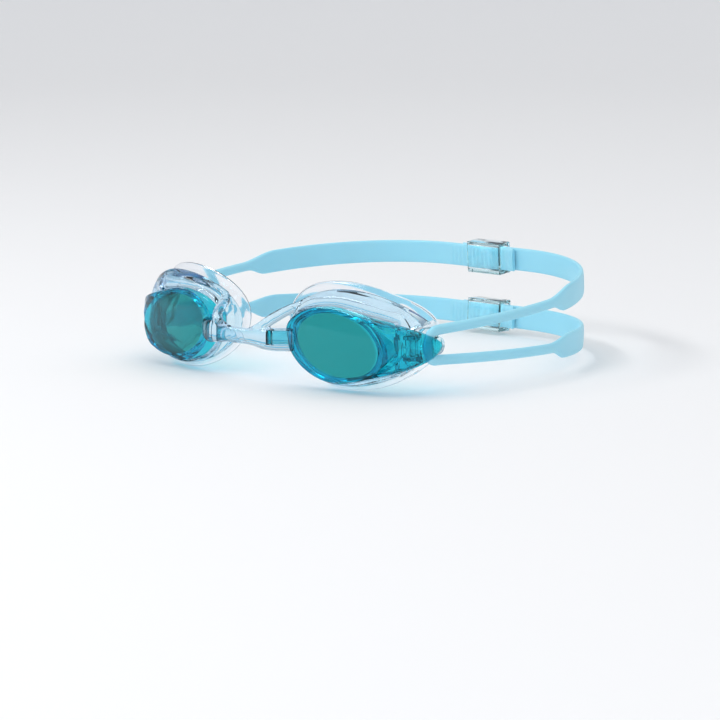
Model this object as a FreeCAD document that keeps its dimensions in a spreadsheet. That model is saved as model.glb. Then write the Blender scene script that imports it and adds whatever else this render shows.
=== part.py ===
import FreeCAD, Part
import math
import os

# Swim goggles: two tinted lenses in clear soft eyecups, a soft nose bridge hooked to both
# lenses, and a two-strand silicone strap in two halves that overlap in a pair of clips
# behind the head. Millimetres, +X to the wearer's left, +Y to the back of the head, +Z up.
# The origin is the middle of the nose bridge, on the line between its two hinge pins.

os.makedirs("parts", exist_ok=True)
doc = FreeCAD.newDocument("swim_goggles")
V = FreeCAD.Vector

# ---------------------------------------------------------------- driving dimensions
DIMENSIONS = [
    # where an eyecup sits: centre of the flat lens window and its turn round the face
    ("eye_x", 41.8), ("eye_y", 7.7), ("eye_z", -0.6), ("wrap_deg", 9),
    # lens cup: half axes of the window, the rim round it and the back of the wall
    ("window_a", 16.9), ("window_b", 11.35), ("window_tilt", 13),
    ("rim_a", 19.3), ("rim_b", 13), ("rim_depth", 1.7), ("rim_tilt", 11),
    ("wall_a", 19.7), ("wall_b", 13.4), ("wall_depth", 11), ("wall_tilt", 9),
    ("lens_thick", 1.6), ("rear_overrun", 1),
    # lens wing towards the temple: four stations, each out, back, up, half height
    ("wing_thick", 2),
    ("wing1_out", 15), ("wing1_back", 3.6), ("wing1_up", -0.5), ("wing1_half", 11.8),
    ("wing2_out", 25), ("wing2_back", 6.6), ("wing2_up", 0.2), ("wing2_half", 9.2),
    ("wing3_out", 32), ("wing3_back", 9.4), ("wing3_up", 0.8), ("wing3_half", 6),
    ("wing4_out", 37), ("wing4_back", 11.8), ("wing4_up", 1.3), ("wing4_half", 2.4),
    # nose hook: upright hinge pin at the end of a flat tab on each lens
    ("hook_x", 15.5), ("hook_radius", 1), ("hook_height", 8.4),
    ("tab_length", 11), ("tab_thick", 1.5), ("tab_height", 5), ("tab_turn", 36.7),
    # nose bridge: bar between two barrels that hold the hook pins
    ("bar_half", 13), ("bar_mid_tall", 5.4), ("bar_mid_thick", 3.2),
    ("bar_end_tall", 7.4), ("bar_end_thick", 4.2),
    ("barrel_radius", 2.6), ("barrel_height", 8), ("slot_height", 5.7), ("swing_angle", 110), ("slot_fit", 0.35),
    ("pin_fit", 0.05),
    # clear soft frame and seal: oval rings bent round two upright cylinders
    ("ridge_a", 28.3), ("ridge_b", 18.2), ("ridge_out", 1.3), ("ridge_up", 2.4),
    ("hole_fit", 0.15), ("bend_back", 57.4), ("bend_front", 54), ("bend_rear", 50),
    ("lip_a", 28.3), ("lip_b", 20.5), ("lip_out", -1.5), ("lip_up", 2.8),
    ("lip_hole_a", 23.5), ("lip_hole_b", 16.4), ("lip_hole_out", -1), ("lip_hole_up", 1.6),
    ("bend_lip", 46.6), ("ring_depth", 40),
    ("pocket_out", 24.2), ("pocket_low", -10), ("pocket_high", 9.5),
    # strap buckle behind the wing tip: knuckle on an upright pin, plate and round post
    ("pin_x", 66.3), ("pin_y", 22), ("pin_radius", 0.8), ("pin_length", 9.4),
    ("knuckle_radius", 1.7), ("knuckle_height", 5.2), ("lug_height", 1.8), ("lug_reach", 3),
    ("plate_x", 66.2), ("plate_thick", 2), ("plate_y", 24.2), ("plate_length", 10.6),
    ("plate_height", 13), ("plate_round", 3),
    ("post_y", 31), ("post_z", -0.2), ("post_radius", 3.3), ("post_length", 3.4),
    # strap: loop round the post, thin oval strands, then flat bands behind the ears
    ("loop_x", 70), ("loop_radius", 5.6), ("strand_tall", 3.9), ("strand_thick", 3),
    ("band_tall", 9.5), ("band_thick", 1.9), ("upper_rise", 3.9), ("lower_drop", 2.2),
    ("leave_radius", 14), ("leave_turn", 20), ("head_half", 79.5), ("back_flat", 18),
    ("back_depth", 70.5), ("widen_turn", 15), ("tail_past", 14), ("layer_gap", 0.4),
    # clips that hold the overlapping tails
    ("clip_half_length", 8.5), ("clip_wall", 1.4), ("clip_room", 0.4), ("clip_window", 9),
]
sizes = doc.addObject("Spreadsheet::Sheet", "Sizes")
for row, (alias, value) in enumerate(DIMENSIONS, start=1):
    sizes.set(f"A{row}", alias)
    sizes.set(f"B{row}", str(value))
    sizes.setAlias(f"B{row}", alias)
doc.recompute()


def size(alias):
    """A driving dimension's value, for the shapes that are worked out in code."""
    return float(sizes.get(alias))


def sized(expression):
    """The expression with each driving dimension's name pointing at the sheet."""
    for alias, _ in DIMENSIONS:
        expression = " ".join(
            f"Sizes.{word}" if word == alias else word for word in expression.split(" ")
        )
    return expression


def bind(thing, **expressions):
    """Binds an object's properties to the sheet and returns the object."""
    for name, expression in expressions.items():
        thing.setExpression(name.replace("__", "."), sized(expression))
    return thing


def place(thing, x="0", y="0", z="0", turn="rotation(vector(0; 0; 1); 0)"):
    """Binds an object's whole Placement: where it is and how it is turned."""
    thing.setExpression("Placement", sized(f"placement(vector( {x} ; {y} ; {z} ); {turn} )"))
    return thing


FACING = "rotation(vector(1; 0; 0); 90)"      # an oval's plane stands up, facing the front
SIDEWAYS = "rotation(vector(0; 1; 0); 90)"    # an oval's plane faces the temple


def tilted(angle):
    """An upright oval with its temple end lowered by an angle."""
    return f"{FACING} * rotation(vector(0; 0; 1); - {angle} )"


def oval(name, along, across, x="0", y="0", z="0", turn=FACING):
    """An oval outline with half axes along and across."""
    made = bind(doc.addObject("Part::Ellipse", name), MajorRadius=along, MinorRadius=across)
    return place(made, x, y, z, turn)


def loft(name, outlines, ruled=True):
    made = doc.addObject("Part::Loft", name)
    made.Sections = outlines
    made.Solid = True
    made.Ruled = ruled
    return made


def prism(name, outline, depth):
    """The solid behind an upright outline, from its plane towards the back."""
    made = doc.addObject("Part::Extrusion", name)
    made.Base = outline
    made.DirMode = "Custom"
    made.Dir = V(0, 1, 0)
    made.Solid = True
    return bind(made, LengthFwd=depth)


def box(name, length, width, height, x, y, z, turn="rotation(vector(0; 0; 1); 0)"):
    made = bind(doc.addObject("Part::Box", name), Length=length, Width=width, Height=height)
    return place(made, x, y, z, turn)


def cylinder(name, radius, height, x, y, z, turn="rotation(vector(0; 0; 1); 0)"):
    made = bind(doc.addObject("Part::Cylinder", name), Radius=radius, Height=height)
    return place(made, x, y, z, turn)


def fuse(name, pieces):
    made = doc.addObject("Part::MultiFuse", name)
    made.Shapes = pieces
    return made


def cut(name, base, tool):
    made = doc.addObject("Part::Cut", name)
    made.Base = base
    made.Tool = tool
    return made


def common(name, first, second):
    made = doc.addObject("Part::Common", name)
    made.Base = first
    made.Tool = second
    return made


def on_face(thing):
    """Moves a piece made round the window's centre to the left eye, turned round the face."""
    return place(thing, "eye_x", "eye_y", "eye_z", "rotation(vector(0; 0; 1); wrap_deg )")


def mirrored(label, source):
    """The same piece for the other side of the face."""
    made = doc.addObject("Part::Mirroring", label)
    made.Source = source
    made.Normal = V(1, 0, 0)
    return made


nodes = {}

# ---------------------------------------------------------------- lens
# A tinted moulding: flat oval window, bevelled rim, cup wall, a wing swept back to the
# temple, a nose hook, and two lugs behind the wing for the buckle pin.
cup_outside = loft("cup_outside", [
    oval("window_oval", "window_a", "window_b", turn=tilted("window_tilt")),
    oval("rim_oval", "rim_a", "rim_b", y="rim_depth", turn=tilted("rim_tilt")),
    oval("wall_oval", "wall_a", "wall_b", y="wall_depth", turn=tilted("wall_tilt")),
])
wing_ovals = [
    oval(f"wing_oval_{n}", f"wing{n}_half", "wing_thick / 2",
         f"wing{n}_out", f"wing{n}_back", f"wing{n}_up", SIDEWAYS)
    for n in (1, 2, 3, 4)
]
wing = loft("wing", wing_ovals, ruled=False)
cup_inside = loft("cup_inside", [
    oval("window_back_oval", "window_a - lens_thick * 0.75", "window_b - lens_thick * 0.75",
         y="lens_thick", turn=tilted("window_tilt")),
    oval("rim_back_oval", "rim_a - lens_thick", "rim_b - lens_thick",
         y="rim_depth + lens_thick", turn=tilted("rim_tilt")),
    oval("wall_back_oval", "wall_a - lens_thick", "wall_b - lens_thick",
         y="wall_depth + rear_overrun", turn=tilted("wall_tilt")),
])
cup_left = on_face(cut("cup_left", fuse("cup_and_wing", [cup_outside, wing]), cup_inside))
tab = box("tab", "tab_length", "tab_thick", "tab_height",
          "hook_x + tab_thick / 2 * sin( tab_turn * 1 deg )",
          "- tab_thick / 2 * cos( tab_turn * 1 deg )", "- tab_height / 2",
          "rotation(vector(0; 0; 1); tab_turn )")
hook_pin = cylinder("hook_pin", "hook_radius", "hook_height", "hook_x", "0", "- hook_height / 2")
lugs = []
for end, lowest in (("upper", "post_z + pin_length / 2 - lug_height"),
                    ("lower", "post_z - pin_length / 2")):
    lugs.append(cylinder(f"{end}_lug_eye", "knuckle_radius", "lug_height",
                         "pin_x", "pin_y", lowest))
    lugs.append(box(f"{end}_lug_arm", "knuckle_radius * 2", "lug_reach", "lug_height",
                    "pin_x - knuckle_radius", "pin_y - lug_reach", lowest))
lug_bore = cylinder("lug_bore", "pin_radius + 0.02", "pin_length + 2",
                    "pin_x", "pin_y", "post_z - pin_length / 2 - 1")
lens_solid = fuse("lens_solid", [cup_left, tab, hook_pin] + lugs)
nodes["lens_left"] = cut("lens_left", lens_solid, lug_bore)

# ---------------------------------------------------------------- frame and seal
# Clear soft rings round the lens wall. Both follow the curve of the face, so each is an
# oval prism kept between two upright cylinders. A pocket at the temple clears the buckle.
def bend(name, radius):
    return cylinder(name, radius, "ring_depth * 2", "0", "bend_back", "- ring_depth")


def ring(name, outline, front, rear, hole):
    """An oval prism between two bend cylinders, with a hole through it."""
    shell = cut(f"{name}_bend", bend(f"{name}_front", front), bend(f"{name}_rear", rear))
    body = common(f"{name}_plate", shell, prism(f"{name}_prism", outline, "ring_depth"))
    return cut(f"{name}_holed", body, prism(f"{name}_hole", hole, "ring_depth"))


ridge_outline = oval("ridge_outline", "ridge_a", "ridge_b", "ridge_out", "0", "ridge_up")
lens_hole = oval("lens_hole", "wall_a + hole_fit", "wall_b + hole_fit", turn=tilted("wall_tilt"))
frame_ring = ring("frame_ring", ridge_outline, "bend_front", "bend_rear", lens_hole)
pocket = box("pocket", "ring_depth", "ring_depth", "pocket_high - pocket_low",
             "pocket_out", "0", "pocket_low")
nodes["frame_left"] = on_face(cut("frame_left", frame_ring, pocket))

lip_outline = oval("lip_outline", "lip_a", "lip_b", "lip_out", "0", "lip_up")
lip_hole = oval("lip_hole", "lip_hole_a", "lip_hole_b", "lip_hole_out", "0", "lip_hole_up")
seal_ring = ring("seal_ring", lip_outline, "bend_rear", "bend_lip", lip_hole)
nodes["seal_left"] = on_face(cut("seal_left", seal_ring, pocket))

# ---------------------------------------------------------------- nose bridge
# A soft clear bar, waisted in the middle, with a slotted barrel at each end. The barrel's
# cheeks hold the hook pin, and the slot lets the tab swing.
bar_ovals = [
    oval(f"bar_oval_{n}", f"bar_{part}_tall / 2", f"bar_{part}_thick / 2", x, turn=SIDEWAYS)
    for n, part, x in ((1, "end", "- bar_half"), (2, "mid", "0"), (3, "end", "bar_half"))
]
bar = loft("bar", bar_ovals, ruled=False)
barrels, openings = [], []
for side, x, angle in (("left", "hook_x", "tab_turn - swing_angle / 2"),
                       ("right", "- hook_x", "180 - tab_turn - swing_angle / 2")):
    barrels.append(cylinder(f"barrel_{side}", "barrel_radius", "barrel_height",
                            x, "0", "- barrel_height / 2"))
    openings.append(cylinder(f"bore_{side}", "hook_radius + pin_fit", "barrel_height + 2",
                             x, "0", "- barrel_height / 2 - 1"))
    openings.append(cylinder(f"slot_bore_{side}", "tab_thick + slot_fit", "slot_height",
                             x, "0", "- slot_height / 2"))
    swing = cylinder(f"swing_{side}", "barrel_radius + 2", "slot_height",
                     x, "0", "- slot_height / 2", f"rotation(vector(0; 0; 1); {angle} )")
    openings.append(bind(swing, Angle="swing_angle"))
nodes["nose_bridge"] = cut("nose_bridge", fuse("bridge_solid", [bar] + barrels),
                           fuse("bridge_openings", openings))

# ---------------------------------------------------------------- buckle and its pin
# A small moulded plate behind the wing tip. Its knuckle turns on an upright pin between
# the lens lugs, and the strap's loop hangs on its round post.
plate = box("plate", "plate_thick", "plate_length", "plate_height",
            "plate_x", "plate_y", "post_z - plate_height / 2")
doc.recompute()
rounded_plate = doc.addObject("Part::Fillet", "rounded_plate")
rounded_plate.Base = plate
rounded_plate.Edges = [
    (number, size("plate_round"), size("plate_round"))
    for number, edge in enumerate(plate.Shape.Edges, start=1)
    if abs(edge.tangentAt(edge.FirstParameter).x) > 0.99
]
knuckle = cylinder("knuckle", "knuckle_radius", "knuckle_height",
                   "pin_x", "pin_y", "post_z - knuckle_height / 2")
web = box("web", "plate_thick", "plate_y - pin_y + plate_thick", "knuckle_height",
          "pin_x - plate_thick / 4", "pin_y", "post_z - knuckle_height / 2")
post = cylinder("post", "post_radius", "plate_thick + post_length",
                "plate_x", "post_y", "post_z", SIDEWAYS)
pin_bore = cylinder("pin_bore", "pin_radius + pin_fit", "plate_height",
                    "pin_x", "pin_y", "post_z - plate_height / 2")
buckle_solid = fuse("buckle_solid", [rounded_plate, knuckle, web, post])
nodes["buckle_left"] = cut("buckle_left", buckle_solid, pin_bore)
nodes["buckle_pin_left"] = cylinder("buckle_pin_left", "pin_radius", "pin_length",
                                    "pin_x", "pin_y", "post_z - pin_length / 2")

for name in ("lens", "frame", "seal", "buckle", "buckle_pin"):
    nodes[f"{name}_right"] = mirrored(f"{name}_right", nodes[f"{name}_left"])

# ---------------------------------------------------------------- strap halves
# One silicone moulding a side: a loop round the post, two thin strands past the temple,
# and two flat bands whose tails overlap behind the head. Each strand lies in a plane that
# leaves the loop with a small rise or drop, so the bands spread apart towards the back.


def head_line(layer):
    """Edges of a strand's centreline in its own plane, from the loop to the tail's end."""
    turn = math.radians(size("leave_turn"))
    leave, half, flat = size("leave_radius"), size("head_half"), size("back_flat")
    depth = size("back_depth") + layer
    start = V(size("loop_x"), 0, 0)
    middle = V(leave * (1 - math.cos(turn / 2)), leave * math.sin(turn / 2), 0) + start
    bend_end = V(leave * (1 - math.cos(turn)), leave * math.sin(turn), 0) + start
    side = (half - bend_end.x) / (1 - math.cos(turn))
    side_y = bend_end.y + side * math.sin(turn)
    side_middle = V(half - side * (1 - math.cos(turn / 2)), side_y - side * math.sin(turn / 2), 0)
    side_end = V(half, side_y, 0)
    centre = V(flat, side_y, 0)
    across = half - flat
    nape = Part.Ellipse(V(flat, side_y + depth, 0), V(flat - across, side_y, 0), centre)
    first, last = -math.pi / 2, 0
    widen = first + math.radians(size("widen_turn"))
    thin = [Part.Arc(start, middle, bend_end).toShape(),
            Part.Arc(bend_end, side_middle, side_end).toShape()]
    widening = [nape.toShape(first, widen)]
    back = V(flat, side_y + depth, 0)
    flat_run = [nape.toShape(widen, last),
                Part.makeLine(back, V(-size("tail_past"), back.y, 0))]
    return thin, widening, flat_run


def section(at, heading, thick, tall):
    """An oval across a centreline: thick sideways and tall upwards."""
    axis = heading.normalize()
    outward = V(axis.y, -axis.x, 0)
    if tall >= thick:
        curve = Part.Ellipse(at + V(0, 0, tall / 2), at + outward * (thick / 2), at)
    else:
        curve = Part.Ellipse(at + outward * (thick / 2), at + V(0, 0, tall / 2), at)
    return Part.Wire([curve.toShape()])


def swept(edges, first, last):
    """A solid along joined edges, from one oval (thick, tall) to another."""
    path = Part.Wire(edges)
    start, end = edges[0], edges[-1]
    begins = section(start.valueAt(start.FirstParameter),
                     start.tangentAt(start.FirstParameter), *first)
    ends = section(end.valueAt(end.LastParameter), end.tangentAt(end.LastParameter), *last)
    return path.makePipeShell([begins, ends], True, False)


def strand(layer, rise_deg, angle_deg):
    """One strand with its band, placed on the loop where the loop's own line points along it."""
    thin_oval = (size("strand_thick"), size("strand_tall"))
    flat_oval = (size("band_thick"), size("band_tall"))
    thin, widening, flat_run = head_line(layer)
    pieces = [swept(thin, thin_oval, thin_oval), swept(widening, thin_oval, flat_oval),
              swept(flat_run, flat_oval, flat_oval)]
    solid = pieces[0].fuse(pieces[1:])
    angle = math.radians(angle_deg)
    base = V(0, size("post_y") + size("loop_radius") * math.cos(angle),
             size("post_z") + size("loop_radius") * math.sin(angle))
    solid.Placement = FreeCAD.Placement(base, FreeCAD.Rotation(V(1, 0, 0), rise_deg))
    return solid


def strap(label, layer, side):
    """A whole strap half, for side 1 (left) or -1 (right)."""
    rise, drop = size("upper_rise"), size("lower_drop")
    centre = V(size("loop_x"), size("post_y"), size("post_z"))
    start = math.radians(90 + rise)
    at = centre + V(0, math.cos(start), math.sin(start)) * size("loop_radius")
    radial = (at - centre).normalize()
    half_tall, half_thick = size("strand_tall") / 2, size("strand_thick") / 2
    curve = Part.Ellipse(at + radial * half_tall, at + V(half_thick, 0, 0), at)
    face = Part.Face(Part.Wire([curve.toShape()]))
    loop = face.revolve(centre, V(1, 0, 0), 180 - rise - drop)
    upper = strand(layer, rise, 90 + rise)
    lower = strand(layer, -drop, 270 - drop)
    solid = loop.fuse([upper, lower]).removeSplitter()
    if side < 0:
        solid = solid.mirror(V(0, 0, 0), V(1, 0, 0))
    made = doc.addObject("Part::Feature", label)
    made.Shape = solid.Solids[0]
    return made


half_layer = (size("band_thick") + size("layer_gap")) / 2
nodes["strap_left"] = strap("strap_left", half_layer, 1)
nodes["strap_right"] = strap("strap_right", -half_layer, -1)

# ---------------------------------------------------------------- strap clips
# A short sleeve round both tails behind the head, with a window in its outer face.
bend_run = "leave_radius * sin( leave_turn * 1 deg )"
side_run = ("( head_half - loop_x - leave_radius * ( 1 - cos( leave_turn * 1 deg ) ) )"
            " * sin( leave_turn * 1 deg ) / ( 1 - cos( leave_turn * 1 deg ) )")
nape_y = f"{bend_run} + {side_run} + back_depth"
stack = "band_thick + layer_gap / 2 + clip_room"
inner_tall = "band_tall + clip_room * 2"
for name, slope, angle in (("upper", "upper_rise", "90 + upper_rise"),
                           ("lower", "- lower_drop", "270 - lower_drop")):
    outer = box(f"{name}_clip_outer", "clip_half_length * 2",
                f"( {stack} + clip_wall ) * 2", f"{inner_tall} + clip_wall * 2",
                "- clip_half_length", f"{nape_y} - ( {stack} ) - clip_wall",
                f"- ( {inner_tall} ) / 2 - clip_wall")
    inner = box(f"{name}_clip_inner", "clip_half_length * 4", f"( {stack} ) * 2", inner_tall,
                "- clip_half_length * 2", f"{nape_y} - ( {stack} )", f"- ( {inner_tall} ) / 2")
    window = box(f"{name}_clip_window", "clip_window", "clip_wall * 4", inner_tall,
                 "- clip_window / 2", nape_y, f"- ( {inner_tall} ) / 2")
    openings = fuse(f"{name}_clip_openings", [inner, window])
    label = f"{name}_clip"
    nodes[label] = place(
        cut(label, outer, openings), "0",
        f"post_y + loop_radius * cos( ( {angle} ) * 1 deg )",
        f"post_z + loop_radius * sin( ( {angle} ) * 1 deg )",
        f"rotation(vector(1; 0; 0); {slope} )")

# ---------------------------------------------------------------- check and export
doc.recompute()
faulty = [o.Name for o in doc.Objects if {"Invalid", "Error"} & set(o.State)]
if faulty:
    raise SystemExit(f"objects failed to build: {faulty}")
for name, node in nodes.items():
    node.Label = name
    shape = node.Shape
    if shape.isNull() or not shape.isValid():
        raise SystemExit(f"{name} has no valid shape")
    box_ = shape.BoundBox
    print(f"{name}: solids {len(shape.Solids)}, volume {shape.Volume:.1f}, "
          f"x {box_.XMin:.1f}..{box_.XMax:.1f} y {box_.YMin:.1f}..{box_.YMax:.1f} "
          f"z {box_.ZMin:.1f}..{box_.ZMax:.1f}")
    shape.exportStep(f"parts/{name}.step")
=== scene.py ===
import bmesh
import bpy
from math import atan2, cos, pi, radians, sin
from mathutils import Matrix, Vector


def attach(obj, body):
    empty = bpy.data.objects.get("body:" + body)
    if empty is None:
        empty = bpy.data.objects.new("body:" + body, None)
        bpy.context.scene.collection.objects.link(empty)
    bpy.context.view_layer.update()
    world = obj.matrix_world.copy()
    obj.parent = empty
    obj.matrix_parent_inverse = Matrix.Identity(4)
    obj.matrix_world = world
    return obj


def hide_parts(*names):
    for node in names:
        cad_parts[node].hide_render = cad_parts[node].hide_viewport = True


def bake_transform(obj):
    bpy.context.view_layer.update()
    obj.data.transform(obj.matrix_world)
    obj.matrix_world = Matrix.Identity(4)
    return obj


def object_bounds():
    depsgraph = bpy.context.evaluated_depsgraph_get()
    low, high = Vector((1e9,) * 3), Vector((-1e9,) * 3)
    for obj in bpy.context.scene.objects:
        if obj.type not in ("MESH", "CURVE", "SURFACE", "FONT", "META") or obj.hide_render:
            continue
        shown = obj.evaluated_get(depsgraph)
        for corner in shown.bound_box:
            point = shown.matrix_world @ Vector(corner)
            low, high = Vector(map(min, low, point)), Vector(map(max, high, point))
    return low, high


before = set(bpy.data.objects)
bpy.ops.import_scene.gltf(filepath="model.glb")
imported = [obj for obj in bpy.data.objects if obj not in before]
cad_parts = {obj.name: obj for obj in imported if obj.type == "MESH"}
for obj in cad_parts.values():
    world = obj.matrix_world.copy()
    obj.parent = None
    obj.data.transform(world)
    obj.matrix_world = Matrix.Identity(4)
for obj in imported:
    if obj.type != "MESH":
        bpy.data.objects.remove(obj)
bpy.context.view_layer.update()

# Lenses. Each is one hard tinted polycarbonate moulding: a flat oval window that stands
# proud, a shoulder round it, a wing swept back to the temple, and a T-shaped hook at the
# nose that the soft bridge is pushed over.

# sizes are in millimetres round the window's centre: x towards the temple, y to the back,
# z up; the left lens is made, and mirrored for the right
MM = 0.001
EYE = Matrix.Translation((0.0418, 0.0077, -0.0006)) @ Matrix.Rotation(radians(9), 4, "Z")
SIDES = (("left", 1), ("right", -1))
tip_reach, nose_reach, brow_reach, cheek_reach = 35.4, 22.6, 10.6, 17.9
outline_x, outline_z, outline_turn = -0.2, 3.1, radians(-3.6)
sweep_start, sweep_rate, sweep_power = 13, 0.057, 1.767


def smooth_step(low, high, value):
    """0 at low and 1 at high, with a soft start and end."""
    share = min(1, max(0, (value - low) / (high - low)))
    return share * share * (3 - 2 * share)


def oval(angle, along, across, tilt=0, centre=(0, 0)):
    """A point on an oval round the window's centre, as (x, z)."""
    x, z = along * cos(angle), across * sin(angle)
    turn = radians(tilt)
    return Vector((centre[0] + x * cos(turn) - z * sin(turn),
                   centre[1] + x * sin(turn) + z * cos(turn)))


def lens_outline(angle, inset=0):
    """The lens's outer edge from the front: round at the nose, drawn out to a tip."""
    c, s = cos(angle), sin(angle)
    x = c * ((tip_reach if c > 0 else nose_reach) - inset)
    z = s * ((brow_reach if s > 0 else cheek_reach) - inset)
    z *= 1 - 0.21 * smooth_step(-0.25, 0.65, c)
    turn = outline_turn
    return Vector((outline_x + x * cos(turn) - z * sin(turn),
                   outline_z + x * sin(turn) + z * cos(turn)))


def sweep_back(x):
    """How far the lens's front has swept back at a distance towards the temple."""
    return sweep_rate * max(0, x - sweep_start) ** sweep_power


def edge_loop(bm, place, count=144):
    """A closed loop of edges: a circle whose points move to place(angle)."""
    made = bmesh.ops.create_circle(bm, segments=count, radius=1)["verts"]
    for vert in made:
        vert.co = place(atan2(vert.co.y, vert.co.x))
    return list({edge for vert in made for edge in vert.link_edges})


def skin(bm, loops, ring=False):
    """Faces from each loop to the next, and from the last to the first on a ring."""
    following = loops[1:] + loops[:1] if ring else loops[1:]
    for first, second in zip(loops, following):
        bmesh.ops.bridge_loops(bm, edges=first + second)


def close(bm, *loops):
    """One flat face in each loop."""
    for loop in loops:
        bmesh.ops.contextual_create(bm, geom=loop)


def piece(name, bm, material, sign=1, place=Matrix.Identity(4), sharp=30):
    """An object from a bmesh in millimetres: placed, mirrored for the right, faces outwards."""
    bmesh.ops.scale(bm, vec=(MM, MM, MM), verts=bm.verts)
    bmesh.ops.transform(bm, matrix=place, verts=bm.verts)
    bmesh.ops.scale(bm, vec=(sign, 1, 1), verts=bm.verts)
    bmesh.ops.recalc_face_normals(bm, faces=bm.faces)
    for face in bm.faces:
        face.smooth = True
    for edge in bm.edges:
        edge.smooth = len(edge.link_faces) != 2 or edge.calc_face_angle() < radians(sharp)
    mesh = bpy.data.meshes.new(name)
    bm.to_mesh(mesh)
    bm.free()
    made = bpy.data.objects.new(name, mesh)
    bpy.context.scene.collection.objects.link(made)
    mesh.materials.append(material)
    return made


disc_long, disc_tall, disc_tilt, disc_centre = 20.7, 12.9, -12, (-1, 0.3)
foot_long, foot_tall, bow_reach = 21.2, 13.4, 24.4
window_long, window_tall, window_tilt, window_centre = 17.1, 11.5, -13, (-0.9, 0)
window_thick, rim_thick = 1.7, 1.3


def disc_edge(angle, outset, back):
    """A point round the flat disc that stands proud of the lens."""
    flat = oval(angle, disc_long + outset, disc_tall + outset, disc_tilt, disc_centre)
    return Vector((flat.x, back, flat.y))


def disc_foot(angle):
    """The foot of the disc: close round it, but drawn out to a bow at the temple."""
    off = abs(atan2(sin(angle), cos(angle))) / (pi / 2)
    foot = oval(angle, foot_long, foot_tall, disc_tilt, disc_centre)
    if off < 1:
        side = 1 if sin(angle) > 0 else -1
        bow = Vector((bow_reach * (1 - off ** 1.3) + disc_centre[0],
                      foot_tall * side * sin(off * pi / 2) + disc_centre[1]))
        bow.rotate(Matrix.Rotation(radians(disc_tilt * off), 2))
        foot = foot.lerp(bow, smooth_step(1, 0.5, off))
    return foot


def lens_front(angle, share):
    """A point of the front between the foot of the disc (share 0) and the outer edge (1).
    A crest runs along the wing from the bow to the tip."""
    off = abs(atan2(sin(angle), cos(angle))) / (pi / 2)
    flat = disc_foot(angle).lerp(lens_outline(angle), share)
    temple = smooth_step(0.9, 0.3, off)
    sunk = 0.5 + 0.9 * temple * (1 - share) ** 2
    crest = 1.5 * max(0, 1 - off / 0.55)
    crest *= smooth_step(0, 0.3, share) * smooth_step(1.06, 0.7, share)
    roll = 1.5 * smooth_step(0.75, 1, share) ** 2
    return Vector((flat.x, sweep_back(flat.x) + sunk - crest + roll, flat.y))


def lens_inside(angle, share):
    """A point of the inside, from the window's edge (share 0) out. Round the nose it runs
    back down the thick drafted wall, and at the temple it lies under the wing."""
    flat = oval(angle, window_long, window_tall, window_tilt, window_centre)
    flat = flat.lerp(lens_outline(angle, rim_thick), share)
    wall = window_thick + 6.3 * share
    wing = max(window_thick, sweep_back(flat.x) + 2.1 + 0.8 * smooth_step(0.6, 1, share))
    below = 1.6 * smooth_step(0, -0.35, sin(angle)) * smooth_step(0.2, 0.5, share)
    wing += below * smooth_step(1, 0.7, share)
    return Vector((flat.x, wall + (wing - wall) * smooth_step(-0.1, 0.45, cos(angle)), flat.y))


def lens_back(angle, inset, outset=0):
    """A point of the wall's back edge: deep round the eye and shallow along the wing."""
    edge = lens_outline(angle, inset)
    wall = 8.2 - 5 * smooth_step(0.35, 0.95, cos(angle))
    return Vector((edge.x, sweep_back(edge.x) + wall + outset, edge.y))


# a shader group with the faint waviness that every moulding has, shared by all the materials
waviness = bpy.data.node_groups.new("moulded_waviness", "ShaderNodeTree")
for socket in ("Scale", "Strength", "Distance"):
    waviness.interface.new_socket(socket, in_out="INPUT", socket_type="NodeSocketFloat")
waviness.interface.new_socket("Normal", in_out="OUTPUT", socket_type="NodeSocketVector")
waviness.interface.new_socket("Mask", in_out="OUTPUT", socket_type="NodeSocketFloat")
given = waviness.nodes.new("NodeGroupInput")
result = waviness.nodes.new("NodeGroupOutput")
where = waviness.nodes.new("ShaderNodeTexCoord")
noise = waviness.nodes.new("ShaderNodeTexNoise")
noise.inputs["Detail"].default_value = 3
bump = waviness.nodes.new("ShaderNodeBump")
waviness.links.new(where.outputs["Object"], noise.inputs["Vector"])
waviness.links.new(given.outputs["Scale"], noise.inputs["Scale"])
waviness.links.new(noise.outputs["Fac"], bump.inputs["Height"])
waviness.links.new(given.outputs["Strength"], bump.inputs["Strength"])
waviness.links.new(given.outputs["Distance"], bump.inputs["Distance"])
waviness.links.new(bump.outputs["Normal"], result.inputs["Normal"])
waviness.links.new(noise.outputs["Fac"], result.inputs["Mask"])


def moulded(material, scale, strength, distance):
    """The waviness group in a material: its Normal and Mask outputs."""
    group = material.node_tree.nodes.new("ShaderNodeGroup")
    group.node_tree = waviness
    group.inputs["Scale"].default_value = scale
    group.inputs["Strength"].default_value = strength
    group.inputs["Distance"].default_value = distance
    return group.outputs["Normal"], group.outputs["Mask"]


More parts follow.
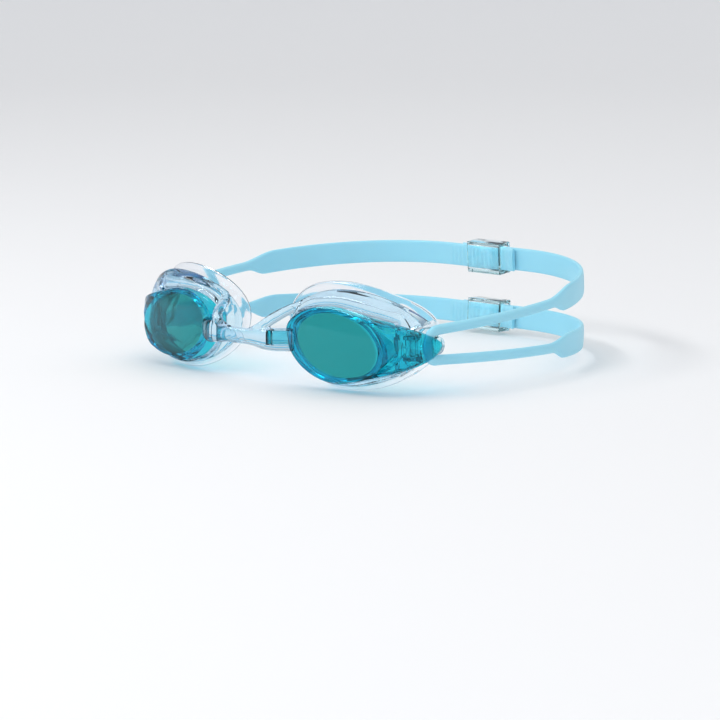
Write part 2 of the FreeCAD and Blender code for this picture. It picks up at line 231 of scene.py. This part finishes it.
def see_through(name, ior, tint, absorbs, density, lets_through, roughness, waves=0.12):
    """A clear or tinted solid. It colours light at its faces (tint) and with thickness
    (absorbs, density), and its shadow lets some light through."""
    material = bpy.data.materials.new(name)
    material.use_nodes = True
    nodes, links = material.node_tree.nodes, material.node_tree.links
    body = nodes["Principled BSDF"]
    body.inputs["Base Color"].default_value = (*tint, 1)
    body.inputs["Transmission Weight"].default_value = 1
    body.inputs["IOR"].default_value = ior
    normal, fac = moulded(material, 90, waves, 0.00008)
    links.new(normal, body.inputs["Normal"])
    rough = nodes.new("ShaderNodeMapRange")
    rough.inputs["To Min"].default_value = roughness * 0.6
    rough.inputs["To Max"].default_value = roughness * 1.4
    links.new(fac, rough.inputs["Value"])
    links.new(rough.outputs["Result"], body.inputs["Roughness"])
    ray = nodes.new("ShaderNodeLightPath")
    shadow = nodes.new("ShaderNodeBsdfTransparent")
    shadow.inputs["Color"].default_value = (*lets_through, 1)
    mix = nodes.new("ShaderNodeMixShader")
    links.new(ray.outputs["Is Shadow Ray"], mix.inputs[0])
    links.new(body.outputs["BSDF"], mix.inputs[1])
    links.new(shadow.outputs["BSDF"], mix.inputs[2])
    links.new(mix.outputs["Shader"], nodes["Material Output"].inputs["Surface"])
    inside = nodes.new("ShaderNodeVolumeAbsorption")
    inside.inputs["Color"].default_value = (*absorbs, 1)
    inside.inputs["Density"].default_value = density
    links.new(inside.outputs["Volume"], nodes["Material Output"].inputs["Volume"])
    return material


polycarbonate_ior = 1.56
wall_tint, window_tint, tab_tint = (0.028, 0.62, 0.69), (0.022, 0.325, 0.312), (0.22, 0.72, 0.78)
shine = (0.35, 0.9, 1, 1)
tinted = see_through("tinted_polycarbonate", polycarbonate_ior, wall_tint,
                     (0.05, 0.8, 0.94), 220, (0.5, 0.86, 0.89), 0.02)
thin_tinted = see_through("thin_tinted_polycarbonate", polycarbonate_ior, tab_tint,
                          (0.3, 0.9, 0.95), 60, (0.7, 0.93, 0.95), 0.02)
for shade in (tinted, thin_tinted):
    shade.node_tree.nodes["Principled BSDF"].inputs["Specular Tint"].default_value = shine

# the tint is deepest in the flat window: a mask of its oval, the same on both sides
nodes, links = tinted.node_tree.nodes, tinted.node_tree.links
where = nodes.new("ShaderNodeTexCoord")
apart = nodes.new("ShaderNodeSeparateXYZ")
either_side = nodes.new("ShaderNodeMath")
either_side.operation = "ABSOLUTE"
joined = nodes.new("ShaderNodeCombineXYZ")
to_oval = nodes.new("ShaderNodeMapping")
to_oval.vector_type = "TEXTURE"
mask_centre, mask_half_size, mask_tilt = (-0.0009, 0.0008, 0.0001), (0.0177, 0.01, 0.0119), 12.5
to_oval.inputs["Location"].default_value = EYE @ Vector(mask_centre)
to_oval.inputs["Rotation"].default_value = (0, radians(mask_tilt), radians(9))
to_oval.inputs["Scale"].default_value = mask_half_size
away = nodes.new("ShaderNodeVectorMath")
away.operation = "LENGTH"
in_window = nodes.new("ShaderNodeMapRange")
in_window.inputs["From Min"].default_value = 1.03
in_window.inputs["From Max"].default_value = 0.98
tint = nodes.new("ShaderNodeMix")
tint.data_type = "RGBA"
tint.inputs["A"].default_value = (*wall_tint, 1)
tint.inputs["B"].default_value = (*window_tint, 1)
links.new(where.outputs["Object"], apart.inputs["Vector"])
links.new(apart.outputs["X"], either_side.inputs[0])
links.new(either_side.outputs["Value"], joined.inputs["X"])
links.new(apart.outputs["Y"], joined.inputs["Y"])
links.new(apart.outputs["Z"], joined.inputs["Z"])
links.new(joined.outputs["Vector"], to_oval.inputs["Vector"])
links.new(to_oval.outputs["Vector"], away.inputs[0])
links.new(away.outputs["Value"], in_window.inputs["Value"])
links.new(in_window.outputs["Result"], tint.inputs["Factor"])
links.new(tint.outputs["Result"], nodes["Principled BSDF"].inputs["Base Color"])

wall_outer, wall_inner, wall_span = (19.6, 12.4), (17.1, 11.3), 70
wall_front, wall_back = 2.6, 9.8
hook_out, hook_up = 15.5, 1
bar_size, tab_size, tab_turn = (1.9, 1.6, 5.4), (6.2, 1.3, 5), radians(36.7)
lug_size, lug_x, lug_y = (3.6, 5.6, 1.6), 66.3, 21

for side, sign in SIDES:
    bm = bmesh.new()
    disc = [edge_loop(bm, lambda a, row=row: disc_edge(a, *row))
            for row in ((-0.25, 0), (0, 0.08), (0.12, 0.3))]
    fronts = [edge_loop(bm, lambda a, s=s: lens_front(a, s))
              for s in (0, 0.04, 0.15, 0.3, 0.45, 0.6, 0.72, 0.82, 0.9, 0.96, 1)]
    backs = [edge_loop(bm, lambda a, row=row: lens_back(a, *row))
             for row in ((0,), (0.3, 0.3), (1, 0.3), (1.3, 0))]
    insides = [edge_loop(bm, lambda a, s=s: lens_inside(a, s))
               for s in (0.97, 0.85, 0.7, 0.5, 0.3, 0.15, 0)]
    skin(bm, disc + fronts + backs + insides)
    close(bm, disc[0], insides[-1])

    # the cup's temple wall, hidden under the wing
    def wall_line(angle, y):
        share = angle / pi % 2
        if share < 1:
            way, half = wall_span * (2 * share - 1), wall_outer
        else:
            way, half = wall_span * (3 - 2 * share), wall_inner
        flat = oval(radians(way), *half, disc_tilt, window_centre)
        return Vector((flat.x, max(y, sweep_back(flat.x) + 3), flat.y))
    walls = [edge_loop(bm, lambda a, y=y: wall_line(a, y), 96) for y in (wall_front, wall_back)]
    skin(bm, walls)
    close(bm, *walls)
    lens = piece(f"lens_{side}_shell", bm, tinted, sign, EYE, sharp=20)
    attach(lens, f"{side}_eyecup")
    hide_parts(f"lens_{side}")

    # the hook's upright bar
    bm = bmesh.new()
    bar = bmesh.ops.create_cube(bm, size=1)["verts"]
    bmesh.ops.scale(bm, vec=bar_size, verts=bar)
    bmesh.ops.translate(bm, vec=(hook_out, 0, hook_up), verts=bar)
    bmesh.ops.bevel(bm, geom=bm.edges[:], offset=0.4, segments=3, profile=0.5, affect="EDGES",
                    material=-1)
    hook = piece(f"lens_{side}_hook_bar", bm, tinted, sign)
    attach(hook, f"{side}_eyecup")

    # the flat tab from the nose side of the rim to the hook's bar, and the two thin lugs
    # behind the wing that hold the buckle's pin
    bm = bmesh.new()
    tab = bmesh.ops.create_cube(bm, size=1)["verts"]
    bmesh.ops.scale(bm, vec=tab_size, verts=tab)
    bmesh.ops.translate(bm, vec=(3.6, 0, 0), verts=tab)
    bmesh.ops.rotate(bm, cent=(0, 0, 0), matrix=Matrix.Rotation(tab_turn, 3, "Z"), verts=tab)
    bmesh.ops.translate(bm, vec=(hook_out + 0.3, 0, hook_up), verts=tab)
    for up in (-4.1, 3.7):
        lug = bmesh.ops.create_cube(bm, size=1)["verts"]
        bmesh.ops.scale(bm, vec=lug_size, verts=lug)
        bmesh.ops.translate(bm, vec=(lug_x, lug_y, up), verts=lug)
    bmesh.ops.bevel(bm, geom=bm.edges[:], offset=0.35, segments=3, profile=0.5, affect="EDGES",
                    material=-1)
    tab = piece(f"lens_{side}_hook_tab", bm, thin_tinted, sign)
    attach(tab, f"{side}_eyecup")


# Clear moulding. In the real thing one soft rubber casting: a ring round each lens with a
# raised ridge, a waisted bar over the nose with a pocket for each hook, and two arms that
# sweep up to the rings. The real casting bends at the hooks.
clear_rubber = see_through("clear_rubber", 1.42, (0.75, 0.92, 0.97), (0.35, 0.6, 0.9), 45,
                           (0.93, 0.95, 0.98), 0.03, waves=0.06)


ridge_temple, ridge_nose, ridge_brow, ridge_cheek = 32.4, 28, 17.6, 18.6
ridge_x, ridge_z = 1.4, 2.9
notch_x, notch_z, notch_near, notch_far, notch_depth = 23.6, 0.6, 6.4, 8.8, 11
ring_inner_reach = 20.5


def ridge_outline(angle):
    """The ring's crest: an egg, drawn in at the temple to make room for the buckle."""
    c, s = cos(angle), sin(angle)
    x = c * (ridge_temple if c > 0 else ridge_nose)
    z = s * (ridge_brow if s > 0 else ridge_cheek)
    if c > 0:
        z *= 1 - 0.2 * c * c
    x, z = x + ridge_x, z + ridge_z
    clear_of_buckle = smooth_step(notch_near, notch_far, abs(z - notch_z))
    return Vector((min(x, notch_x + notch_depth * clear_of_buckle), z))


def ring_point(angle, share, lift):
    """A point of the ring's section, from the lens wall (share 0) out to the crest (1)."""
    inner = lens_outline(angle, -0.1)
    inner.x = min(inner.x, ring_inner_reach)
    outer = ridge_outline(angle)
    flat = inner.lerp(outer, share)
    near = 3.3 + 0.004 * flat.x ** 2 + 2.2 * smooth_step(12, 20, flat.x)
    far = 5.2 + 0.0101 * flat.x ** 2
    return Vector((flat.x, near + (far - near) * share + lift, flat.y))


# the ring's section: (share of the way out, lift to the back)
ring_section = ((0, 0), (0.1, -0.9), (0.3, -1.7), (0.6, -1.9), (0.8, -1.2), (0.93, -0.9),
                (1.02, -0.3), (1.02, 1.1), (0.9, 1.6), (0.6, 2.2), (0.3, 3.2), (0, 3.8))


def rounded(points, rounds):
    """A closed section with its corners cut again and again, until it is a smooth curve."""
    for _ in range(rounds):
        pairs = zip(points, points[1:] + points[:1])
        points = [q for a, b in pairs for q in (a.lerp(b, 0.25), a.lerp(b, 0.75))]
    return points


def tube(bm, stations, count=40):
    """A closed solid through stations, each (centre, half across, half up, heading)."""
    loops = []
    for centre, across, up, heading in stations:
        turn = heading.to_track_quat("Y", "Z").to_matrix()
        loops.append(edge_loop(bm, lambda a: centre + turn @ Vector((
            across * abs(cos(a)) ** 0.8 * (1 if cos(a) > 0 else -1), 0,
            up * abs(sin(a)) ** 0.8 * (1 if sin(a) > 0 else -1))), count))
    skin(bm, loops)
    close(bm, loops[0], loops[-1])


bm = bmesh.new()
skin(bm, [edge_loop(bm, lambda a: ring_point(a, *row), 216)
          for row in rounded([Vector(row) for row in ring_section], 2)], ring=True)
to_bridge = Matrix.Translation((41.8, 7.7, -0.6)) @ Matrix.Rotation(radians(9), 4, "Z")
bmesh.ops.transform(bm, matrix=to_bridge, verts=bm.verts)

# the bar over the nose, thicker towards the rings
bar_stations = []
for x in (-0.6, 2, 4, 6, 8, 10, 12, 14, 16, 18, 20, 22):
    back = 0.05 * max(0, x - 11) ** 2
    flare = smooth_step(4, 18, x)
    heading = Vector((1, 0.1 * max(0, x - 11), 0))
    bar_stations.append((Vector((x, back, 0.1 - 0.1 * flare)), 1.7 + 0.6 * flare,
                         3.1 + 1.4 * flare, heading))
tube(bm, bar_stations)

# the arm from the bar's middle up to the ring
arm_points = [(3, 0, 1.9), (7, -0.3, 3), (10.5, -0.3, 4.4), (12.8, 0.8, 5.9),
              (14.2, 3.4, 7.6), (15.4, 7, 9.2), (16.8, 11, 10.7), (19.4, 13.6, 12.2),
              (23.2, 13.4, 14.6), (27.9, 12.7, 16.4)]
arm_wide = (0.9, 1.3, 1.7, 2, 2.1, 2, 1.8, 1.6, 1.2, 0.6)
arm_stations = []
for n, point in enumerate(arm_points):
    before = Vector(arm_points[max(0, n - 1)])
    after = Vector(arm_points[min(len(arm_points) - 1, n + 1)])
    arm_stations.append((Vector(point), arm_wide[n] * 0.8, arm_wide[n], after - before))
tube(bm, arm_stations, 28)
bmesh.ops.recalc_face_normals(bm, faces=bm.faces)
bmesh.ops.mirror(bm, geom=bm.verts[:] + bm.edges[:] + bm.faces[:], axis="X", merge_dist=-1)
moulding = piece("moulding_form", bm, clear_rubber)


def melted(form, cutters, voxel, rounds):
    """The joined solids of a form as one skin: remeshed, smoothed, and cut by the cutters."""
    remesh = form.modifiers.new("remesh", "REMESH")
    remesh.mode, remesh.voxel_size = "VOXEL", voxel
    relax = form.modifiers.new("relax", "SMOOTH")
    relax.factor, relax.iterations = 0.5, rounds
    for cutter in cutters:
        pocket = form.modifiers.new("pocket", "BOOLEAN")
        pocket.operation, pocket.object, pocket.solver = "DIFFERENCE", cutter, "EXACT"
    seen = form.evaluated_get(bpy.context.evaluated_depsgraph_get())
    mesh = bpy.data.meshes.new_from_object(seen)
    bpy.data.objects.remove(form)
    for cutter in cutters:
        bpy.data.objects.remove(cutter)
    return mesh


def hook_box(name, size, away, turn):
    """Two boxes, one for each hook, to cut the moulding with."""
    bm = bmesh.new()
    for sign in (1, -1):
        box = bmesh.ops.create_cube(bm, size=1)["verts"]
        bmesh.ops.scale(bm, vec=size, verts=box)
        bmesh.ops.translate(bm, vec=(away, 0, 0), verts=box)
        bmesh.ops.rotate(bm, cent=(0, 0, 0), matrix=Matrix.Rotation(turn, 3, "Z"), verts=box)
        bmesh.ops.translate(bm, vec=(hook_out, 0, hook_up), verts=box)
        bmesh.ops.scale(bm, vec=(sign, 1, 1), verts=box)
    return piece(name, bm, clear_rubber)


# each hook's bar sits in a well, and its tab comes out through a slot
well_size, slot_size = (2.3, 2, 5.8), (8, 1.6, 5.3)
wells = hook_box("well_form", well_size, 0, 0)
slots = hook_box("slot_form", slot_size, 5, tab_turn)
skin_voxel, skin_rounds = 0.0003, 22
whole = melted(moulding, [wells, slots], skin_voxel, skin_rounds)

# the casting is parted beside the middle, with a hair's gap, into a half for each side
parting, parting_gap = -0.0126, 0.00002
for side, sign in SIDES:
    bm = bmesh.new()
    bm.from_mesh(whole)
    at = parting - parting_gap * (sign < 0)
    cut = bmesh.ops.bisect_plane(bm, geom=bm.verts[:] + bm.edges[:] + bm.faces[:],
                                 plane_co=(at, 0, 0), plane_no=(1, 0, 0),
                                 clear_inner=sign > 0, clear_outer=sign < 0)
    rim = [e for e in cut["geom_cut"] if isinstance(e, bmesh.types.BMEdge)]
    bmesh.ops.holes_fill(bm, edges=rim, sides=0)
    bmesh.ops.scale(bm, vec=(1 / MM, 1 / MM, 1 / MM), verts=bm.verts)
    half = piece(f"clear_moulding_{side}", bm, clear_rubber, sharp=50)
    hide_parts(f"frame_{side}")
    if side == "left":
        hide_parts("nose_bridge")
    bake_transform(half)


# Seals. A thin clear silicone skirt behind each ring: it flares to a lip that rests on the
# face, deeper at the temple than at the nose.
seal_silicone = see_through("seal_silicone", 1.4, (0.96, 0.98, 1), (0.3, 0.55, 0.9), 60,
                            (0.93, 0.95, 0.98), 0.06, waves=0.03)


lip_temple, lip_nose, lip_brow, lip_cheek = 29.2, 30.2, 19.2, 21.3
lip_x, lip_z, lip_turn = 0.3, 3.7, radians(-5)
around, rows, skirt_thick = 240, 12, 0.65


def lip_point(angle, inset, lift):
    """A point of the lip that rests on the face, deepest at the temple."""
    c, s = cos(angle), sin(angle)
    x = c * ((lip_temple if c > 0 else lip_nose) - inset)
    z = s * ((lip_brow if s > 0 else lip_cheek) - inset)
    turn = lip_turn
    flat = Vector((lip_x + x * cos(turn) - z * sin(turn), lip_z + x * sin(turn) + z * cos(turn)))
    back = 8.6 + 0.0095 * (flat.x + 5) ** 2 + 7 * smooth_step(14, 30, flat.x)
    return Vector((flat.x, back + lift, flat.y))


def skirt_point(angle, share, lift):
    """A point of the skirt, from the back of the ring (share 0) out to the lip (1)."""
    root = ring_point(angle, 0.72, 2.2)
    lip = lip_point(angle, 0, 0)
    bend = smooth_step(0, 1, share) - share
    flat = root.lerp(lip, share)
    tuck = 1.1 * smooth_step(16, 24, flat.x) * sin(pi * share)
    return Vector((flat.x - tuck, flat.y - bend * 3 + lift, flat.z))


for side, sign in SIDES:
    bm = bmesh.new()
    front = [edge_loop(bm, lambda a: ring_point(a, 0.35, 3.35), around)]
    front += [edge_loop(bm, lambda a, n=n: skirt_point(a, n / rows, 0), around)
              for n in range(rows)]
    lip = [edge_loop(bm, lambda a, row=row: lip_point(a, *row), around)
           for row in ((0, -0.1), (-0.12, 0.15), (0, 0.4), (0.4, 0.5))]
    back = [edge_loop(bm, lambda a, n=n: skirt_point(a, n / rows, skirt_thick), around)
            for n in range(rows - 1, -1, -1)]
    back += [edge_loop(bm, lambda a: ring_point(a, 0.35, 4), around)]
    skin(bm, front + lip + back, ring=True)
    seal = piece(f"seal_{side}_skirt", bm, seal_silicone, sign, EYE, sharp=50)
    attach(seal, f"{side}_eyecup")
    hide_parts(f"seal_{side}")


# Strap halves. One light blue silicone moulding a side: a loop round the buckle's post, two
# oval strands past the temple, and two flat bands that meet behind the head. Each strand
# lies in a plane of its own that leaves the loop with a small rise or drop.
def silicone(name, colour, roughness):
    """Soft silicone, a little translucent, with a faint change of tone along it."""
    material = bpy.data.materials.new(name)
    material.use_nodes = True
    nodes, links = material.node_tree.nodes, material.node_tree.links
    body = nodes["Principled BSDF"]
    body.inputs["Roughness"].default_value = roughness
    body.inputs["Subsurface Weight"].default_value = 0.25
    body.inputs["Subsurface Radius"].default_value = (0.6, 0.9, 1)
    body.inputs["Subsurface Scale"].default_value = 0.0012
    normal, fac = moulded(material, 700, 0.25, 0.0001)
    links.new(normal, body.inputs["Normal"])
    broad = nodes.new("ShaderNodeTexNoise")
    broad.inputs["Scale"].default_value = 40
    where = nodes.new("ShaderNodeTexCoord")
    links.new(where.outputs["Object"], broad.inputs["Vector"])
    tone = nodes.new("ShaderNodeMix")
    tone.data_type = "RGBA"
    tone.inputs["A"].default_value = (*[c * 0.93 for c in colour], 1)
    tone.inputs["B"].default_value = (*[min(1, c * 1.05) for c in colour], 1)
    links.new(broad.outputs["Fac"], tone.inputs["Factor"])
    links.new(tone.outputs["Result"], body.inputs["Base Color"])
    return material


strap_blue = silicone("strap_silicone_blue", (0.33, 0.72, 0.87), 0.4)
POST = Vector((70, 31, -0.2))
loop_radius, strand_thick, strand_tall = 5.6, 3, 3.9
band_thick, band_tall, rib_tall = 1.9, 9.5, 0.25
low_shoulder, high_shoulder, rib_first = (62, 71), (59, 77), 90
leave, turn_out, head_half, flat_back, back_depth = 14, radians(20), 79.5, 18, 70.5
rise, drop, layer_gap = radians(3.9), radians(2.2), 0.4


def head_path(layer):
    """Points of a strand's centreline in its own plane, evenly stepped along each stretch."""
    points = []
    for n in range(0, 7):
        a = turn_out * n / 6
        points.append(Vector((POST.x + leave * (1 - cos(a)), leave * sin(a))))
    side = (head_half - points[-1].x) / (1 - cos(turn_out))
    start_y = points[-1].y
    for n in range(1, 25):
        a = turn_out * (1 - n / 24)
        points.append(Vector((head_half - side * (1 - cos(a)),
                              start_y + side * (sin(turn_out) - sin(a)))))
    side_y = points[-1].y
    for n in range(1, 61):
        a = pi / 2 * n / 60
        points.append(Vector((flat_back + (head_half - flat_back) * cos(a),
                              side_y + (back_depth + layer) * sin(a))))
    for n in range(1, 81):
        points.append(Vector((flat_back - 0.4 * n, side_y + back_depth + layer)))
    return points


def oval_section(angle, half_wide, half_tall, square):
    """A point of a section: an oval (square 1) that nears a rectangle as square falls."""
    c, s = cos(angle), sin(angle)
    return (half_wide * abs(c) ** square * (1 if c > 0 else -1),
            half_tall * abs(s) ** square * (1 if s > 0 else -1))


def strand_loops(bm, layer, rise, start_angle):
    """Loops of one strand and its band, from the post's loop to the tail's end."""
    points = head_path(layer)
    base = Vector((0, POST.y + loop_radius * cos(start_angle),
                   POST.z + loop_radius * sin(start_angle)))
    tilt = Matrix.Rotation(rise, 3, "X")
    run, loops = 0, []
    for n, point in enumerate(points):
        if n:
            run += (point - points[n - 1]).length
        ahead = points[min(n + 1, len(points) - 1)] - points[max(n - 1, 0)]
        out = Vector((ahead.y, -ahead.x)).normalized()
        low = smooth_step(*low_shoulder, run)
        high = smooth_step(*high_shoulder, run)
        thick = strand_thick + (band_thick - strand_thick) * high
        top = (strand_tall + (band_tall - strand_tall) * high) / 2
        bottom = (strand_tall + (band_tall - strand_tall) * low) / 2
        square = 1 - 0.45 * high
        rib = rib_tall * (n > rib_first and n % 5 < 2)

        def place(a):
            wide, tall = oval_section(a, thick / 2, 1, square)
            wide += rib * (1 if layer > 0 else -1) * (wide * layer > 0) * (abs(tall) < 0.8)
            tall *= top if tall > 0 else bottom
            return base + tilt @ Vector((point.x + out.x * wide, point.y + out.y * wide, tall))
        loops.append(edge_loop(bm, place, 32))
    return loops


for side, sign in SIDES:
    layer = sign * (band_thick + layer_gap) / 2
    bm = bmesh.new()
    upper = strand_loops(bm, layer, rise, pi / 2 + rise)
    lower = strand_loops(bm, layer, -drop, -pi / 2 - drop)
    turn = []
    for n in range(1, 24):
        way = pi / 2 + rise + (pi - rise - drop) * n / 24

        def place(a):
            wide, tall = oval_section(a, strand_thick / 2, strand_tall / 2, 1)
            reach = loop_radius + tall
            return POST + Vector((wide, reach * cos(way), reach * sin(way)))
        turn.append(edge_loop(bm, place, 32))
    skin(bm, upper[::-1] + turn + lower)
    close(bm, upper[-1], lower[-1])
    strap = piece(f"strap_{side}_band", bm, strap_blue, sign, sharp=60)
    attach(strap, f"{side}_strap")
    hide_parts(f"strap_{side}")


# Buckles, their pins and the back clips. Clear hard mouldings; each has its edges rounded
# off by the mould. The buckle's pin is pressed through the lens's two lugs.
clear_hard = see_through("clear_polycarbonate", polycarbonate_ior, (0.97, 0.99, 1),
                         (0.35, 0.85, 0.9), 60, (0.85, 0.95, 0.97), 0.03)
hardware = [(f"buckle_{side}", f"{side}_buckle", 0.3) for side, sign in SIDES]
hardware += [(f"buckle_pin_{side}", f"{side}_eyecup", 0.2) for side, sign in SIDES]
hardware += [("upper_clip", "upper_clip", 0.45), ("lower_clip", "lower_clip", 0.45)]
for name, body, rounding in hardware:
    bm = bmesh.new()
    bm.from_mesh(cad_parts[name].data)
    bmesh.ops.remove_doubles(bm, verts=bm.verts, dist=0.000002)
    bmesh.ops.dissolve_limit(bm, angle_limit=radians(2), verts=bm.verts, edges=bm.edges)
    bmesh.ops.scale(bm, vec=(1 / MM, 1 / MM, 1 / MM), verts=bm.verts)
    corners = [e for e in bm.edges if e.is_manifold and e.calc_face_angle() > radians(40)]
    bmesh.ops.bevel(bm, geom=corners, offset=rounding, segments=3, profile=0.5, affect="EDGES",
                    material=-1, clamp_overlap=True)
    part = piece(f"{name}_moulding", bm, clear_hard)
    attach(part, body)
    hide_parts(name)


# Floor and studio: a round pale cove that the goggles stand in, with a long soft lamp over
# the front, a small one at the side and a broad one above, in a grey and white room.
bm = bmesh.new()
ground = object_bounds()[0].z - 0.0002
middle, reach, curve = 0.2, 1.6, 0.9
rings = [edge_loop(bm, lambda a: Vector((middle * cos(a), middle * sin(a), ground)), 96)]
for n in range(13):
    turn = pi / 2 * n / 12
    out, up = reach + curve * sin(turn), ground + curve * (1 - cos(turn))
    rings.append(edge_loop(bm, lambda a: Vector((out * cos(a), out * sin(a), up)), 96))
skin(bm, rings)
close(bm, rings[0])
bmesh.ops.recalc_face_normals(bm, faces=bm.faces)
floor_mesh = bpy.data.meshes.new("floor")
bm.to_mesh(floor_mesh)
bm.free()
for polygon in floor_mesh.polygons:
    polygon.use_smooth = True
floor = bpy.data.objects.new("floor", floor_mesh)
bpy.context.scene.collection.objects.link(floor)
pale = bpy.data.materials.new("pale_floor")
pale.use_nodes = True
pale.node_tree.nodes["Principled BSDF"].inputs["Base Color"].default_value = (0.88, 0.88, 0.89, 1)
pale.node_tree.nodes["Principled BSDF"].inputs["Roughness"].default_value = 0.8
floor_mesh.materials.append(pale)

# each lamp: name, place, width, depth and power
aim = Vector((0.06924, -0.01174, 0))
lamps = (("key", (-0.38, -0.72, 0.68), 1.15, 0.14, 4.9),
         ("fill", (0.9, -0.5, 0.5), 0.5, 0.2, 0.6),
         ("top", (0.1, 0.3, 1.1), 0.9, 0.5, 0.9))
for name, place, size, depth, power in lamps:
    lamp = bpy.data.lights.new(name, "AREA")
    lamp.shape = "RECTANGLE"
    lamp.energy = power
    lamp.size, lamp.size_y = size, depth
    stand = bpy.data.objects.new(name, lamp)
    stand.location = place
    stand.rotation_mode = "QUATERNION"
    stand.rotation_quaternion = (aim - Vector(place)).to_track_quat("-Z", "Y")
    bpy.context.scene.collection.objects.link(stand)

# the room: near-white at the horizon, a grey band for the glass to reflect, and white above
room = bpy.data.worlds.new("room")
room.use_nodes = True
nodes, links = room.node_tree.nodes, room.node_tree.links
heading = nodes.new("ShaderNodeTexCoord")
height = nodes.new("ShaderNodeSeparateXYZ")
bands = nodes.new("ShaderNodeValToRGB")
low_band, grey_band = bands.color_ramp.elements
low_band.position = 0.06
low_band.color = (0.97, 0.98, 1, 1)
grey_band.position = 0.2
grey_band.color = (0.34, 0.42, 0.52, 1)
for position, colour in ((0.42, (0.4, 0.47, 0.56, 1)), (0.6, (1, 1, 1, 1))):
    bands.color_ramp.elements.new(position).color = colour
links.new(heading.outputs["Generated"], height.inputs["Vector"])
links.new(height.outputs["Z"], bands.inputs["Fac"])
links.new(bands.outputs["Color"], nodes["Background"].inputs["Color"])
nodes["Background"].inputs["Strength"].default_value = 0.88
bpy.context.scene.world = room
bpy.context.scene.view_settings.view_transform = "Standard"

azimuth, elevation, distance = radians(40.04), radians(9.97), 0.9466
camera = bpy.data.objects.new("camera", bpy.data.cameras.new("camera"))
camera.data.lens, camera.data.sensor_width = 132.5, 36
back = Vector((sin(azimuth) * cos(elevation), -cos(azimuth) * cos(elevation), sin(elevation)))
camera.location = aim + back * distance
camera.rotation_mode = "QUATERNION"
camera.rotation_quaternion = (-back).to_track_quat("-Z", "Y")
bpy.context.scene.collection.objects.link(camera)
bpy.context.scene.camera = camera
